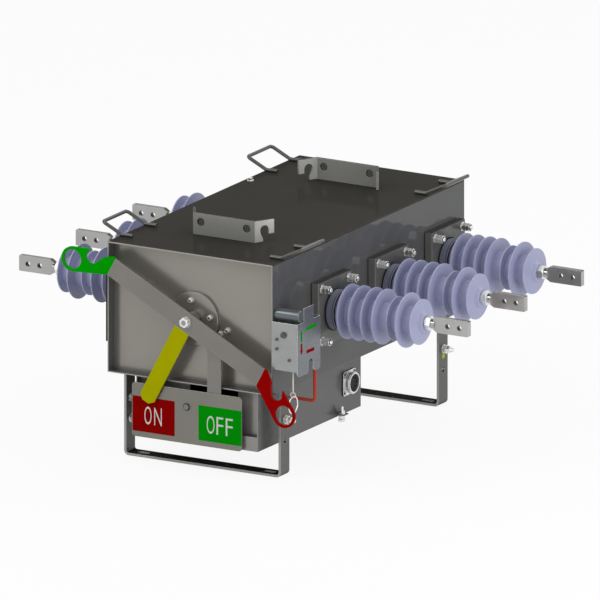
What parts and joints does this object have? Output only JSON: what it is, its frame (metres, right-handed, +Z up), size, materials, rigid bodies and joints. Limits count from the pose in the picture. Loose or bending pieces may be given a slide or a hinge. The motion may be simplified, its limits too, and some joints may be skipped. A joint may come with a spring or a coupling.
{
  "type": "pole-mounted load break switch",
  "caption": "Sealed steel tank switch with shedded bushings on both sides, front hand lever with pointer, lock guard, hanging brackets and strap legs.",
  "frame": {"origin": "on the ground plane at the centre of the four base slots", "axes": "+X to the terminals on the lock guard's side, -Y to the lever and indicator plate, +Z up"},
  "size_m": [1.373, 1.051, 0.657],
  "materials": {
    "tank_steel": "brushed",
    "lid_steel": "polished",
    "bracket_steel": "satin",
    "plate_steel": "satin",
    "flange_steel": "satin",
    "fasteners": "bright",
    "zinc_sheet": "zinc plated",
    "polished_rod": "polished",
    "shaft_steel": "machined",
    "black_seal": "matte",
    "black_plate": "matte",
    "tinned_copper": "tinned",
    "silicone": "satin silicone",
    "shaft_resin": "cast resin",
    "green_paint": "satin",
    "red_paint": "satin",
    "yellow_paint": "satin"
  },
  "bodies": {
    "switch_body": {"tank_body": "tank_steel", "front_panel": "tank_steel", "tank_lid": "lid_steel", "bracket_front": "bracket_steel", "bracket_rear": "bracket_steel", "leg_front": "bracket_steel", "leg_rear": "bracket_steel", "under_box": "bracket_steel", "indicator_plate": "plate_steel", "indicator_strap": "plate_steel", "shaft_flange": "plate_steel", "bushing_flanges": "flange_steel", "filler_plug": "fasteners", "flange_studs": "fasteners", "terminal_nuts": "fasteners", "flange_screws": "fasteners", "leg_bolts": "fasteners", "plate_bolt": "fasteners", "earth_lug_bolt": "fasteners", "lock_screws": "fasteners", "lock_box": "zinc_sheet", "connector_shell": "zinc_sheet", "guard_roller": "zinc_sheet", "handle_fr": "polished_rod", "handle_fl": "polished_rod", "handle_br": "polished_rod", "handle_bl": "polished_rod", "toggle_spring": "shaft_steel", "spring_anchor": "shaft_steel", "rear_bearing": "shaft_steel", "bushing_gaskets": "black_seal", "blank_plate": "black_plate", "connector_insert": "black_plate", "aux_switch": "black_plate", "contact_jaws": "tinned_copper", "terminal_r1": "tinned_copper", "terminal_r2": "tinned_copper", "terminal_r3": "tinned_copper", "terminal_l1": "tinned_copper", "terminal_l2": "tinned_copper", "terminal_l3": "tinned_copper", "insulator_r1": "silicone", "insulator_r2": "silicone", "insulator_r3": "silicone", "insulator_l1": "silicone", "insulator_l2": "silicone", "insulator_l3": "silicone"},
    "hand_lever": {"lever_bar": "plate_steel", "eye_upper": "green_paint", "eye_lower": "red_paint", "pointer": "yellow_paint", "pivot_bolt": "fasteners", "lever_shaft": "shaft_steel", "drive_crank": "shaft_steel"},
    "contact_shaft": {"main_shaft": "shaft_resin", "blade_1": "tinned_copper", "blade_2": "tinned_copper", "blade_3": "tinned_copper"},
    "lock_slide": {"lock_slide": "red_paint"},
    "lock_ring": {"lock_ring": "polished_rod"}
  },
  "joints": [
    {"name": "lever_turn", "type": "hinge", "parent": "switch_body", "child": "hand_lever", "pos_m": [0, -0.527, 0.416], "axis": [0, -1, 0], "range_deg": [0, 56], "deforming": ["toggle_spring"]},
    {"name": "contact_turn", "type": "hinge", "parent": "switch_body", "child": "contact_shaft", "pos_m": [0, 0.083, 0.416], "axis": [0, -1, 0], "range_deg": [0, 60]},
    {"name": "lock_lift", "type": "slide", "parent": "switch_body", "child": "lock_slide", "axis": [0, 0, 1], "range_m": [0, 0.02]},
    {"name": "ring_swing", "type": "hinge", "parent": "lock_slide", "child": "lock_ring", "pos_m": [0.305, -0.49, 0.24], "axis": [1, 0, 0], "range_deg": [-20, 60]}
  ],
  "couplings": [
    {"joint": "contact_turn", "follows": "lever_turn", "ratio": 1.07}
  ]
}
